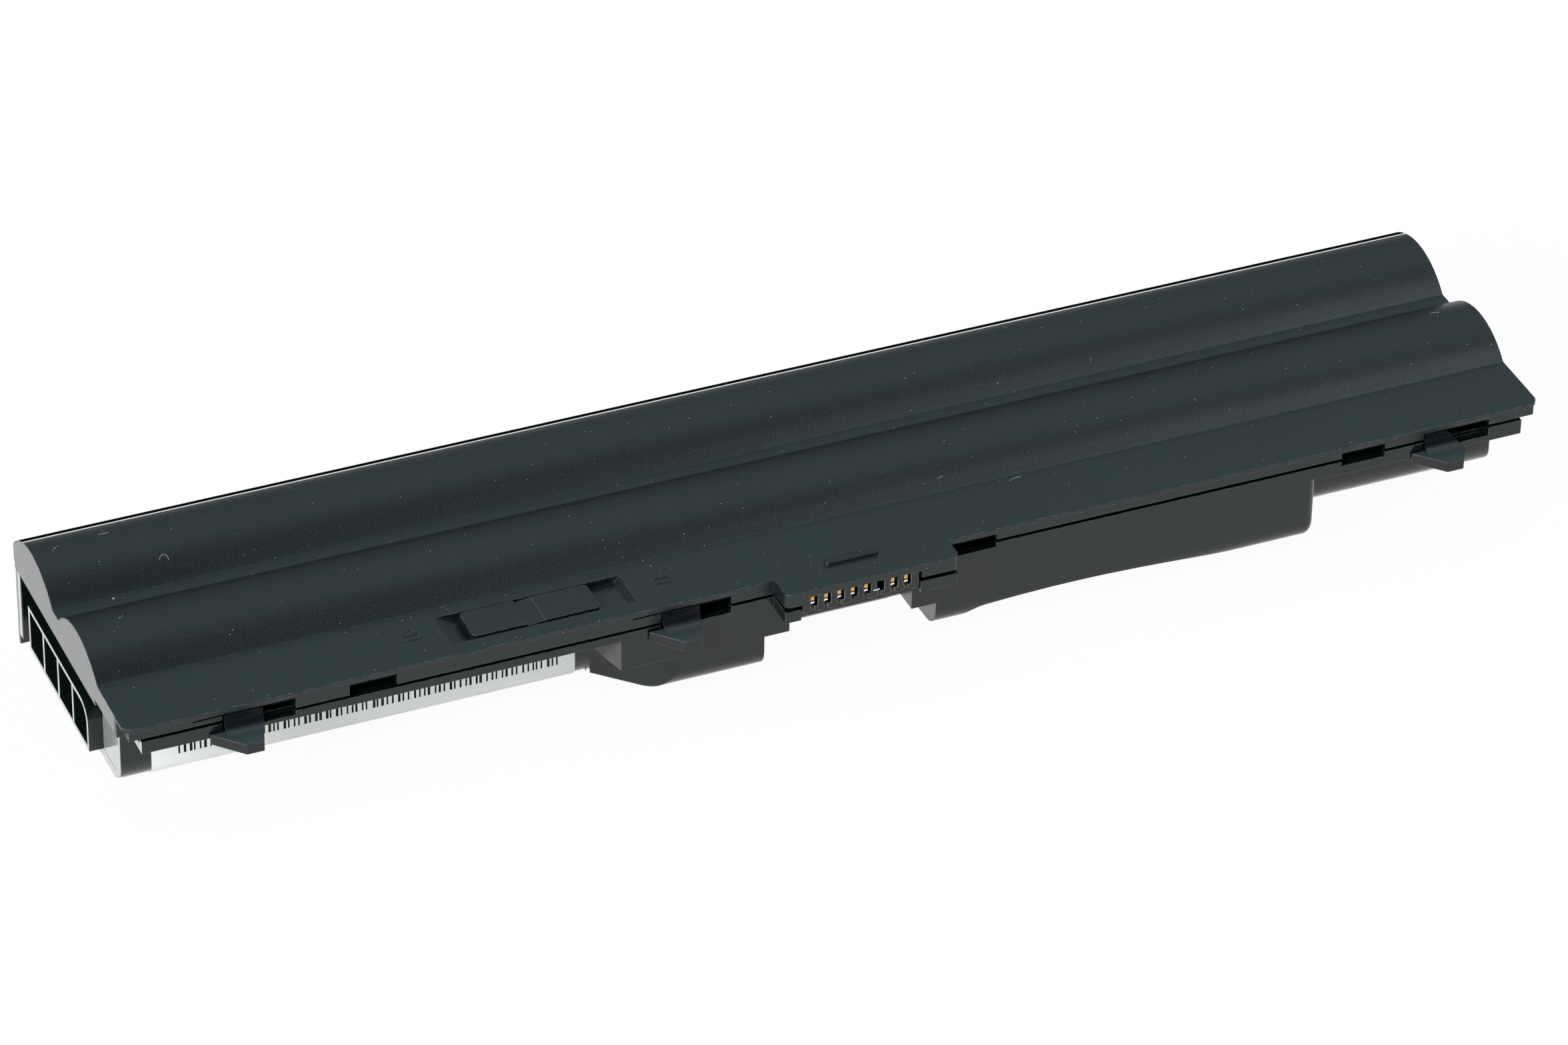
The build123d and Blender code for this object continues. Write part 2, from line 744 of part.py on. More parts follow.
# Latch knob: thumb pad with a dip across it, on a post that stands on the bar
knob_top_z = flange_z + knob_proud
knob_bottom_z = knob_top_z - knob_thickness
with BuildPart() as latch_knob:
    with BuildSketch(Plane.XY.offset(knob_bottom_z)):
        with Locations((knob_x, pan_y)):
            RectangleRounded(knob_length, knob_width, knob_corner)
    extrude(amount=knob_thickness)
    with BuildSketch(Plane.XZ.offset(-pan_y - knob_width / 2)):
        Polygon(
            (knob_x - knob_dip_length / 2, knob_top_z),
            (knob_x - knob_dip_length / 2, knob_top_z - knob_dip),
            (knob_x + knob_dip_length / 2, knob_top_z),
            align=None,
        )
    extrude(amount=knob_width, mode=Mode.SUBTRACT)
    block(
        (knob_x - post_length / 2, knob_x + post_length / 2),
        (pan_y - post_depth / 2, pan_y + post_depth / 2),
        (bar_top_z, knob_bottom_z),
    )
finish(latch_knob, "latch_knob")

# Cells: steel cans in two rows, with a crimp groove and a cap at the positive end


def make_cell(start_x, row_y):
    """One cell from its flat end at start_x, as a turned profile about its axis."""
    profile = Plane((start_x, row_y, axis_z), x_dir=(1, 0, 0), z_dir=(0, -1, 0))
    shoulder = cell_length - cap_height
    crimp_x = shoulder - crimp_place
    with BuildPart() as cell:
        with BuildSketch(profile):
            with BuildLine():
                Polyline(
                    (0, 0),
                    (0, cell_radius),
                    (crimp_x, cell_radius),
                    (crimp_x + crimp_width / 2, cell_radius - crimp_depth),
                    (crimp_x + crimp_width, cell_radius),
                    (shoulder, cell_radius),
                    (shoulder, cap_radius),
                    (cell_length, cap_radius),
                    (cell_length, 0),
                    close=True,
                )
            make_face()
        revolve(axis=Axis((start_x, row_y, axis_z), (1, 0, 0)))
    return cell


for row_name, row_y in (("front", front_axis_y), ("rear", rear_axis_y)):
    for place in range(cells_in_row):
        cell_start = place * (cell_length + joiner_gap) - row_length / 2
        finish(make_cell(cell_start, row_y), f"cell_{row_name}_{place + 1}")

# Nickel strips: one across each pair of cell ends, with tongues forward to the board and leads
tongue_z = (ledge_top_z + strip_thickness, wall_top_z - joiner_gap)
strip_y = (front_axis_y + rear_axis_y) / 2
lead_y = trough_y - hump_wall - lead_width
lead_z = (ledge_top_z, ledge_top_z + strip_thickness)


def make_joiner(middle_x, thickness):
    """A strip across both rows at one place along them, with a tongue over the inner wall."""
    with BuildPart() as joiner:
        with BuildSketch(Plane.YZ.offset(middle_x - thickness / 2)):
            with Locations((strip_y, axis_z)):
                SlotCenterToCenter(row_pitch, strip_width)
            tongue_mid_y, tongue_length = span(lead_y, front_axis_y)
            tongue_mid_z, tongue_height = span(*tongue_z)
            with Locations((tongue_mid_y, tongue_mid_z)):
                Rectangle(tongue_length, tongue_height)
            riser_z, riser_height = span(axis_z, tongue_z[1])
            with Locations((front_axis_y, riser_z)):
                Rectangle(lead_width, riser_height)
        extrude(amount=thickness)
    return joiner


for number, joiner_x in enumerate(joiner_xs, start=1):
    finish(make_joiner(joiner_x, joiner_gap - cell_clearance / 2), f"joiner_strip_{number}")

end_strip_x = row_length / 2 + strip_thickness
for side, side_name, lead_end in ((-1, "left", board_left), (1, "right", board_right)):
    end_strip = make_joiner(side * end_strip_x, strip_thickness)
    with end_strip:
        strip_out_x = side * (end_strip_x + strip_thickness / 2)
        strip_in_x = side * (end_strip_x - strip_thickness / 2)
        lead_pair = (lead_y, lead_y + lead_width)
        block(sorted((strip_out_x, lead_end)), lead_pair, lead_z)
        block(sorted((strip_out_x, strip_in_x)), lead_pair, (lead_z[0], tongue_z[1]))
    finish(end_strip, f"end_strip_{side_name}")
    # Insulating card between the end strip and the end wall
    card_x = side * (end_strip_x + strip_thickness / 2 + card_thickness / 2)
    with BuildPart() as card:
        with BuildSketch(Plane.YZ.offset(card_x)):
            with Locations((strip_y, axis_z)):
                Rectangle(row_pitch, strip_width)
                with GridLocations(row_pitch, 0, 2, 1):
                    RegularPolygon(card_width / 2, card_sides)
        extrude(amount=card_thickness / 2, both=True)
    finish(card, f"end_card_{side_name}")

# Foam strip in the groove between the two rows, under the valley of the upper shell
with BuildPart() as foam_strip:
    foam_top_z = wall_top_z
    foam_half = row_length / 2
    block(
        (-foam_half, foam_half),
        (strip_y - foam_width / 2, strip_y + foam_width / 2),
        (foam_top_z - foam_height, foam_top_z),
    )
finish(foam_strip, "foam_strip")

# Protection board and the parts soldered on it
board_back_y = board_hollow_y[1] - board_gap
board_front_y = board_back_y - board_width
with BuildPart() as circuit_board:
    block((board_left, board_right), (board_front_y, board_back_y), (board_z - board_thickness, board_z))
finish(circuit_board, "circuit_board")

part_y = board_back_y - lead_width / 2
for part_name, bodies in board_parts.items():
    with BuildPart() as soldered:
        for body_x, body_length, body_width, body_height in bodies:
            block(
                (body_x - body_length / 2, body_x + body_length / 2),
                (part_y - body_width / 2, part_y + body_width / 2),
                (board_z, board_z + body_height),
            )
    finish(soldered, part_name)

# Connector: a comb of teeth under the hood with pockets between them, one left empty as the key
comb_x_pair = (comb_left + comb_gap, comb_right - comb_right_gap)
comb_front_y = nose_y + comb_gap
comb_back_y = face_y + case_wall
comb_top_z = flange_z - flange_thickness - comb_gap
comb_bottom_z = board_z + comb_gap
tooth_z = flange_z - tooth_drop
pocket_z = flange_z - pocket_bottom_drop
pocket_xs = [pocket_x + (i - (pocket_count - 1) / 2) * pocket_pitch for i in range(pocket_count)]
contact_xs = [x for i, x in enumerate(pocket_xs) if i != key_pocket]
blade_z = (flange_z - contact_bottom_drop, comb_top_z - comb_gap)
tail_z = (board_z, board_z + contact_thickness)
blade_front_y = comb_front_y + comb_gap
pocket_back_y = comb_back_y - pocket_web
leg_y = (pocket_back_y - comb_gap - contact_thickness, pocket_back_y - comb_gap)
tail_back_y = comb_back_y + case_wall
with BuildPart() as connector_housing:
    block(comb_x_pair, (pocket_back_y, face_y), (tooth_z, comb_top_z))
    block(comb_x_pair, (leg_y[1], comb_back_y), (comb_bottom_z, bar_bottom_z - slide_clearance))
    with BuildSketch(Plane.XZ.offset(-pocket_back_y)) as teeth:
        comb_x, comb_width = span(*comb_x_pair)
        comb_z, comb_height = span(tooth_z, comb_top_z)
        with Locations((comb_x, comb_z)):
            Rectangle(comb_width, comb_height)
        pocket_mid_z, pocket_height = span(pocket_z, comb_top_z)
        with Locations(*[(x + pocket_offset, pocket_mid_z) for x in pocket_xs]):
            Rectangle(pocket_width, pocket_height, mode=Mode.SUBTRACT)
        with Locations(*[(x, comb_z) for x in pocket_xs]):
            Rectangle(slot_width, comb_height, mode=Mode.SUBTRACT)
        fillet(teeth.vertices().group_by(Axis.Y)[0], tooth_round)
    extrude(amount=pocket_back_y - comb_front_y)
    slit = contact_width / 2 + comb_gap
    for contact_x in contact_xs:
        block(
            (contact_x - slit, contact_x + slit),
            (leg_y[0] - comb_gap, comb_back_y),
            (comb_bottom_z, tail_z[1] + comb_gap),
            Mode.SUBTRACT,
        )
        block(
            (contact_x - slit, contact_x + slit),
            (leg_y[0] - comb_gap, leg_y[1] + comb_gap),
            (comb_bottom_z, pocket_z),
            Mode.SUBTRACT,
        )
finish(connector_housing, "connector_housing")

for number, contact_x in enumerate(contact_xs, start=1):
    with BuildPart() as contact:
        with BuildSketch(Plane.YZ.offset(contact_x - contact_width / 2)):
            # Blade with a sloping nose, then a leg down to a tail on the board
            Polygon(
                (blade_front_y, blade_z[1]),
                (leg_y[1], blade_z[1]),
                (leg_y[1], tail_z[1]),
                (tail_back_y, tail_z[1]),
                (tail_back_y, tail_z[0]),
                (leg_y[0], tail_z[0]),
                (leg_y[0], blade_z[0]),
                (blade_front_y + contact_thickness, blade_z[0]),
                (blade_front_y, blade_z[0] + contact_thickness),
                align=None,
            )
        extrude(amount=contact_width)
    finish(contact, f"contact_{number}")

# Label: a thin sheet on the front of the trough and round its lower corner
label_left = label_end_inset - lower_length / 2
label_right = housing_left - housing_left_slant - label_housing_gap
corner_z = flange_z - trough_corner_drop
floor_slope = corner_z / (front_axis_y + floor_front_back - trough_y)
with BuildPart() as label:
    with BuildSketch(Plane.YZ.offset(label_left)):
        with BuildLine():
            FilletPolyline(
                (trough_y - label_gap, flange_z - label_top_drop),
                (trough_y - label_gap, corner_z - label_gap),
                (trough_y + label_tail, corner_z - label_gap - label_tail * floor_slope),
                radius=trough_corner,
            )
            offset(amount=label_thickness, side=Side.RIGHT)
        make_face()
    extrude(amount=label_right - label_left)
finish(label, "label")
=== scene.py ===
# %% [markdown]
# A laptop battery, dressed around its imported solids. The solids already have the true size, the two
# humps over the cells, the slide latch with its hooks and the comb of the connector. What is missing
# is everything that light finds on them: moulded grain, softened edges, printed bars, gold and dust.

# %% Load the solids
import math

import bpy
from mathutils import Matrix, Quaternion, Vector


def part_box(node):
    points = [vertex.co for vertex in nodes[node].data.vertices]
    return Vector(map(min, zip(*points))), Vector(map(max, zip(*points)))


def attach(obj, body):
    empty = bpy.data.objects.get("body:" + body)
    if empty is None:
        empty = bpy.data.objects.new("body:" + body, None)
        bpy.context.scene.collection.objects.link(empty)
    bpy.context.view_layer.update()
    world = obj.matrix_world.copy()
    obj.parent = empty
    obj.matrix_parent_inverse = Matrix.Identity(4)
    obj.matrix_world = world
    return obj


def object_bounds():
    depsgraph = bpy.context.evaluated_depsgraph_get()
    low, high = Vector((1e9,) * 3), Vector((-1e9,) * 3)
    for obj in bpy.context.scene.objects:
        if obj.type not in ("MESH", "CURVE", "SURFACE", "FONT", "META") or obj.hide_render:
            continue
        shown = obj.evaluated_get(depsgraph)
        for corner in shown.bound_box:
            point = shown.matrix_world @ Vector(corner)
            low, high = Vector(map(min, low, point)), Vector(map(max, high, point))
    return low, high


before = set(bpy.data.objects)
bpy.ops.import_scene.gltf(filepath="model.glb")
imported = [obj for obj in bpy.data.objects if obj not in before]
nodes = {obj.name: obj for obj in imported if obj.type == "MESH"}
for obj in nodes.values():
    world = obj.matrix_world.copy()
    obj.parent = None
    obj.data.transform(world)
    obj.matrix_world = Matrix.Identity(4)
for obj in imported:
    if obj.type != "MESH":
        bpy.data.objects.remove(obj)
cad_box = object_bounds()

MM = 0.001
print("loaded", len(nodes), "solids, box in mm:", [[round(v / MM, 1) for v in corner] for corner in cad_box])

# %% [markdown]
# Shader nodes are easier to read as sums. A wire is one output of a node, and arithmetic on wires adds
# the Math nodes behind it, so a mask can be written as 1 - edge. Every other kind of node comes
# from one method, which sets the node's own settings first and then fills its sockets.

# %% A wire between shader nodes


class Wire:
    """An output socket of a shader node, with arithmetic that adds Math nodes."""

    def __init__(self, tree, socket=None):
        self.tree = tree
        self.socket = socket

    def add(self, kind, settings=None, sockets=None, output=0):
        """A node of that kind: its settings first, then values or wires into its sockets."""
        node = self.tree.nodes.new(kind)
        settings = dict(settings or {})
        stops = settings.pop("stops", None)
        for name, value in settings.items():
            setattr(node, name, value)
        if stops:
            band = node.color_ramp.elements
            band[0].position, band[0].color = stops[0]
            band[1].position, band[1].color = stops[-1]
            for place, colour in stops[1:-1]:
                band.new(place).color = colour
        for name, value in (sockets or {}).items():
            if isinstance(value, Wire):
                self.tree.links.new(value.socket, node.inputs[name])
            else:
                node.inputs[name].default_value = value
        return Wire(self.tree, node.outputs[output])

    def maths(self, operation, *others):
        """A Math node with this wire first and the other values after it."""
        sockets = dict(enumerate((self, *others)))
        return self.add("ShaderNodeMath", {"operation": operation}, sockets)

    def __add__(self, other):
        return self.maths("ADD", other)

    def __radd__(self, other):
        return self.maths("ADD", other)

    def __sub__(self, other):
        return self.maths("SUBTRACT", other)

    def __rsub__(self, other):
        return (self * -1.0) + other

    def __mul__(self, other):
        return self.maths("MULTIPLY", other)

    def __rmul__(self, other):
        return self.maths("MULTIPLY", other)

    def __truediv__(self, other):
        return self.maths("DIVIDE", other)

    def __rtruediv__(self, other):
        return self.maths("POWER", -1.0) * other

    def step(self, low, high):
        """0 below low, 1 above high, and a smooth rise between them."""
        sockets = {"Value": self, "From Min": low, "From Max": high}
        return self.add("ShaderNodeMapRange", {"interpolation_type": "SMOOTHSTEP"}, sockets)

    def blend(self, first, second):
        """A colour that goes from first to second with this wire as the share."""
        return self.add("ShaderNodeMix", {"data_type": "RGBA"}, {0: self, 6: first, 7: second}, output=2)


print("wires ready")

# %% A new finish


def new_finish(name):
    """An empty material: its wire for adding nodes, its shader and the material itself."""
    material = bpy.data.materials.new(name)
    material.use_nodes = True
    tree = material.node_tree
    tree.nodes.clear()
    output = tree.nodes.new("ShaderNodeOutputMaterial")
    shader = tree.nodes.new("ShaderNodeBsdfPrincipled")
    tree.links.new(shader.outputs[0], output.inputs["Surface"])
    return Wire(tree), shader, material


def connect(wire, shader, name):
    """Leads a wire into one of the shader's sockets."""
    wire.tree.links.new(wire.socket, shader.inputs[name])


def dress(material, *names):
    """Gives the solids of those names this finish."""
    for name in names:
        nodes[name].material_slots[0].material = material
    print(material.name, "on", ", ".join(names))


def noise(wire, place, size, detail=2.0):
    """Soft noise with lumps of about that size, in metres."""
    sockets = {"Vector": place, "Scale": 1 / size, "Detail": detail}
    return wire.add("ShaderNodeTexNoise", {"noise_dimensions": "3D"}, sockets)


print("finishes ready")

# %% [markdown]
# Moulded edges are never sharp. The solids have crisp edges, so the finish rounds them: the Bevel node
# gives the normal that a small radius would have. Where that normal departs from the face's own, the
# The Ambient Occlusion node then tells an outer edge, which is painted pale, partly as rubbed wear and partly
# as a painted highlight, from an inner corner, which stays dark. The end faces were polished in the mould,
# and have a mask too; in the satin finish it also paints them pale, a painted reflection of the white floor.

# %% Rounded edges, painted pale as wear and highlight
EDGE_RADIUS = 0.16 * MM
CASE_HALF = cad_box[1].x


def rounded(wire, radius=EDGE_RADIUS):
    """The normal of softened edges, and a mask that is 1 on the outer edges."""
    soft = wire.add("ShaderNodeBevel", {"samples": 6}, {"Radius": radius})
    face = wire.add("ShaderNodeNewGeometry", output="Normal")
    match = wire.add("ShaderNodeVectorMath", {"operation": "DOT_PRODUCT"}, {0: soft, 1: face}, output="Value")
    free = wire.add("ShaderNodeAmbientOcclusion", {"samples": 4}, {"Distance": 4 * radius}, output="AO")
    edge = (1.0 - match).step(0.01, 0.12) * free.step(0.6, 0.9)
    return soft, edge


def along_axis(wire, kind, axis):
    """One coordinate of the place or of the normal, which are kinds of texture coordinates."""
    whole = wire.add("ShaderNodeTexCoord", output=kind)
    return wire.add("ShaderNodeSeparateXYZ", sockets={0: whole}, output=axis)


def on_ends(wire):
    """1 on the faces that look along the pack, 0 on the rest."""
    return along_axis(wire, "Normal", "X").maths("ABSOLUTE").step(0.8, 0.95)


def near_ends(wire):
    """1 on the last few millimetres of the pack at either end, 0 on the rest."""
    return along_axis(wire, "Object", "X").maths("ABSOLUTE").step(CASE_HALF - 4 * MM, CASE_HALF - 3 * MM)


print("edges rounded by mm", EDGE_RADIUS / MM)

# %% [markdown]
# The upper shell is matt black plastic with a spark-eroded grain on the humps and a finer one on the
# flat flange. It is nearly black: what the eye reads as grey is the sheen of the soft light on it.
# Fine dust has settled on it, as small pale specks.

# %% Finish of the upper shell
KNOB_PROUD = 0.15 * MM
FLANGE_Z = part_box("latch_knob")[1].z - KNOB_PROUD
GRAIN_SIZE = 0.24 * MM
DUST_CELL = 1.7 * MM
DUST_RADIUS = 0.09 * MM
RIM_WIDTH = 0.45 * MM
POLISHED_FROM_Y = (-18.5 * MM, -17.5 * MM)


def dust_specks(wire, place):
    """A mask of scattered specks, where the surface cuts small balls strewn in space."""
    sockets = {"Vector": place, "Scale": 1 / DUST_CELL}
    away = wire.add("ShaderNodeTexVoronoi", {"feature": "F1"}, sockets, output="Distance")
    return 1.0 - away.step(0.5 * DUST_RADIUS / DUST_CELL, DUST_RADIUS / DUST_CELL)


def grained_plastic(name, smooth, grained, glint, rubbed_and_highlit, roughness, grain_depth, dust):
    """Matt moulded plastic: smooth on the flange, grained on the humps, a little dusty, with outer edges
    painted pale as rubbed wear and painted highlight.
    """
    wire, shader, material = new_finish(name)
    place = wire.add("ShaderNodeTexCoord", output="Object")
    soft, edge = rounded(wire)
    on_humps = along_axis(wire, "Object", "Z").step(FLANGE_Z, FLANGE_Z + 0.6 * MM)
    grain = noise(wire, place, GRAIN_SIZE)
    mottle = noise(wire, place, 14 * MM)
    worn = noise(wire, place, 0.7 * MM).step(0.35, 0.65)
    colour = on_humps.blend(smooth, grained)
    colour = (grain.step(0.5, 0.75) * (on_humps * 0.6 + 0.3)).blend(colour, glint)
    # Outer edges are painted pale here: partly rubbed wear, partly a painted highlight.
    colour = (edge * worn * 0.85).blend(colour, rubbed_and_highlit)
    colour = (dust_specks(wire, place) * dust).blend(colour, (0.62, 0.62, 0.58, 1))
    connect(colour, shader, "Base Color")
    connect(roughness + (grain - 0.5) * 0.12 + mottle * 0.06, shader, "Roughness")
    _, rim = rounded(wire, RIM_WIDTH)
    polished = on_ends(wire) * near_ends(wire) * along_axis(wire, "Object", "Y").step(*POLISHED_FROM_Y)
    connect(polished * (1.0 - rim) * (grain * 0.5 + 0.7), shader, "Coat Weight")
    shader.inputs["Coat Roughness"].default_value = 0.25
    sockets = {"Height": grain * (on_humps * 0.6 + 0.4), "Distance": grain_depth, "Normal": soft}
    connect(wire.add("ShaderNodeBump", {}, sockets), shader, "Normal")
    return material


upper_finish = grained_plastic(
    "grained_black",
    smooth=(0.004, 0.0095, 0.0105, 1),
    grained=(0.001, 0.0018, 0.0032, 1),
    glint=(0.010, 0.013, 0.017, 1),
    rubbed_and_highlit=(0.14, 0.145, 0.14, 1),
    roughness=0.35,
    grain_depth=0.03 * MM,
    dust=0.55,
)
dress(upper_finish, "upper_shell")

# %% [markdown]
# The lower shell, the latch and the connector are smoother mouldings in the same black. Satin plastic
# is the same recipe with a shallow grain and less roughness, so the pale floor mirrors in it and the
# lower edges fade into it.

# %% Finish of the lower shell, the latch and the connector


def satin_plastic(name, black, rubbed_and_highlit, roughness, grain_depth, end_reflection=None, plate_light_and_stem_shade=None, highlight_crease_x=None):
    """Satin moulded plastic with edges painted pale as rubbed wear and painted highlight, a painted
    reflection on end faces, painted light on plate tops with painted shade above them, and a painted
    highlight along a crease.
    """
    wire, shader, material = new_finish(name)
    place = wire.add("ShaderNodeTexCoord", output="Object")
    soft, edge = rounded(wire)
    grain = noise(wire, place, 0.3 * MM)
    flow = noise(wire, place, 22 * MM)
    worn = noise(wire, place, 0.9 * MM).step(0.3, 0.6)
    # Outer edges are painted pale here: partly rubbed wear, partly a painted highlight.
    colour = (edge * worn * 0.85).blend(black, rubbed_and_highlit)
    gloss = roughness + (grain - 0.5) * 0.08 + flow * 0.05
    polished = on_ends(wire) * near_ends(wire)
    if end_reflection:
        # Painted reflection: the end faces near the ends are painted pale, as if mirroring the white floor.
        colour = polished.blend(colour, end_reflection)
    if highlight_crease_x:
        # A painted highlight: a thin pale line along the knob's shallow crease.
        past = (along_axis(wire, "Object", "X") - highlight_crease_x).maths("ABSOLUTE")
        colour = ((1.0 - past.step(0.05 * MM, 0.12 * MM)) * 0.2).blend(colour, rubbed_and_highlit)
    if plate_light_and_stem_shade:
        # Painted light on the upward faces below the plate's top, and above it a near-black matt mixed in as
        # painted shade.
        top_z, top_painted_light = plate_light_and_stem_shade
        facing_up = along_axis(wire, "Normal", "Z").step(0.6, 0.9)
        above = along_axis(wire, "Object", "Z").step(top_z, top_z + 0.7 * MM)
        colour = (facing_up * (1.0 - above)).blend(colour, top_painted_light)
        painted_shade = wire.add("ShaderNodeBsdfDiffuse", {}, {"Color": (0.006, 0.007, 0.010, 1)})
        sheen = Wire(wire.tree, shader.outputs[0])
        both = wire.add("ShaderNodeMixShader", {}, {0: above * 0.8, 1: sheen, 2: painted_shade})
        wire.tree.links.new(both.socket, wire.tree.nodes["Material Output"].inputs["Surface"])
    connect(colour, shader, "Base Color")
    connect(gloss, shader, "Roughness")
    connect(polished * 0.6 + on_ends(wire) * 0.4, shader, "Coat Weight")
    shader.inputs["Coat Roughness"].default_value = 0.12
    sockets = {"Height": grain, "Distance": grain_depth, "Normal": soft}
    connect(wire.add("ShaderNodeBump", {}, sockets), shader, "Normal")
    return material


PLATE_THICKNESS = 1.5 * MM
CREASE_HIGHLIGHT_X = -43.1 * MM
# Pale tone painted on the satin end faces: a painted reflection of the white floor.
END_PAINTED_REFLECTION = (0.30, 0.305, 0.29, 1)
# A lighter colour painted on the hook plates' tops: painted light.
plate_top_painted_light = (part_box("latch_bar")[0].z + PLATE_THICKNESS, (0.034, 0.047, 0.050, 1))
lower_finish = satin_plastic(
    "satin_black",
    black=(0.003, 0.0065, 0.0065, 1),
    rubbed_and_highlit=(0.12, 0.125, 0.12, 1),
    roughness=0.18,
    grain_depth=0.003 * MM,
    end_reflection=END_PAINTED_REFLECTION,
)
latch_finish = satin_plastic(
    "latch_black",
    black=(0.003, 0.007, 0.008, 1),
    rubbed_and_highlit=(0.13, 0.135, 0.13, 1),
    roughness=0.34,
    grain_depth=0.006 * MM,
    highlight_crease_x=CREASE_HIGHLIGHT_X,
)
hook_finish = satin_plastic(
    "hook_black",
    black=(0.002, 0.004, 0.006, 1),
    rubbed_and_highlit=(0.13, 0.135, 0.13, 1),
    roughness=0.34,
    grain_depth=0.006 * MM,
    plate_light_and_stem_shade=plate_top_painted_light,
)
# The comb's bright edge colour is mostly a painted highlight along the lower edges of its teeth.
comb_finish = satin_plastic(
    "comb_black",
    black=(0.005, 0.006, 0.007, 1),
    rubbed_and_highlit=(0.42, 0.42, 0.40, 1),
    roughness=0.3,
    grain_depth=0.003 * MM,
)
dress(lower_finish, "lower_shell")
dress(latch_finish, "latch_knob")
dress(hook_finish, "latch_bar")
dress(comb_finish, "connector_housing")

# %% [markdown]
# Under the ledge the wall turns round a wide lower corner, and there it mirrors the white table more and
# more, until its outline is lost in it. The solid's corner is tighter, so the finish widens it: a mirror is
# mixed over the plastic by the distance from the outline. Under the connector the wall reaches lower. Along
# the start of the rear hump's far side runs a thin white mirror line, a painted reflection, and past it the
# far side is covered by a near-black matt, painted shade.

# %% Sheen of the lower corner and the rear line
WHITE = (1, 1, 1, 1)
FRONT_WALL_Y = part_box("label")[0].y
OUTLINE_Z = 2.75 * MM
CORNER_LEAN = 0.66
FADE = 0.075 * MM
FADE_END = 0.03
LOW_WALL_X = (-10.0 * MM, 8.5 * MM)
LOW_WALL_DROP = 1.0 * MM
REAR_LINE_Y = (19.05 * MM, 19.45 * MM)
REAR_Z = FLANGE_Z - 1 * MM


def lower_corner(wire):
    """The mirror's share on the front wall: nearly 1 at the outline of the lower corner, 0 a little above."""
    depth = along_axis(wire, "Object", "Y") - FRONT_WALL_Y
    along = along_axis(wire, "Object", "X")
    start_x, end_x = LOW_WALL_X
    low_wall = along.step(start_x - 1 * MM, start_x) * (1.0 - along.step(end_x, end_x + 1 * MM))
    lean = depth.maths("MAXIMUM", 0.0) * CORNER_LEAN
    rise = along_axis(wire, "Object", "Z") + lean + low_wall * LOW_WALL_DROP
    rise = (rise - OUTLINE_Z).maths("MAXIMUM", 0.0)
    share = (FADE / (rise + FADE) - FADE_END).maths("MAXIMUM", 0.0)
    on_wall = depth.maths("GREATER_THAN", -0.2 * MM) * (1.0 - depth.step(2 * MM, 4 * MM))
    forward = along_axis(wire, "Normal", "Y").maths("LESS_THAN", -0.1)
    return share * on_wall * forward


def past_rear_line(wire, start_y):
    """1 on the rear hump's far side from that distance on, 0 on the rest and on the end faces."""
    behind = along_axis(wire, "Object", "Y").step(start_y, start_y + 0.08 * MM)
    return behind * along_axis(wire, "Object", "Z").maths("GREATER_THAN", REAR_Z) * (1.0 - on_ends(wire))


def over(material, share, coating):
    """Mixes a coating over all that the finish has so far, by that share."""
    wire = Wire(material.node_tree)
    surface = wire.tree.nodes["Material Output"].inputs["Surface"]
    below = Wire(wire.tree, surface.links[0].from_socket)
    both = wire.add("ShaderNodeMixShader", {}, {0: share, 1: below, 2: coating})
    wire.tree.links.new(both.socket, surface)


wire = Wire(lower_finish.node_tree)
table_mirror = wire.add("ShaderNodeBsdfGlossy", {}, {"Color": WHITE, "Roughness": 0.12})
over(lower_finish, lower_corner(wire), table_mirror)
wire = Wire(upper_finish.node_tree)
# A painted reflection: a thin white mirror line on the rear hump, then painted shade beyond it.
painted_reflection = wire.add("ShaderNodeBsdfGlossy", {}, {"Color": WHITE, "Roughness": 0.06})
over(upper_finish, past_rear_line(wire, REAR_LINE_Y[0]) * 0.85, painted_reflection)
painted_shade = wire.add("ShaderNodeBsdfDiffuse", {}, {"Color": (0.004, 0.004, 0.004, 1)})
over(upper_finish, past_rear_line(wire, REAR_LINE_Y[1]), painted_shade)
print("sheen over", lower_finish.name, "and a line over", upper_finish.name)

# %% [markdown]
# The label is a white paper sheet with a row of black bars printed along it. The bars here stand for
# nothing: they follow each other at one pitch, and a white-noise node draws the width of each by chance.

# %% Finish of the label
BAR_PITCH = 0.73 * MM
BAR_MARGINS = (3.7 * MM, 2.3 * MM)
BAR_LOW_Z = 4.6 * MM


def by_chance(wire, number):
    """A chance value from 0 to 1 for each number."""
    return wire.add("ShaderNodeTexWhiteNoise", {"noise_dimensions": "1D"}, {"W": number}, output="Value")


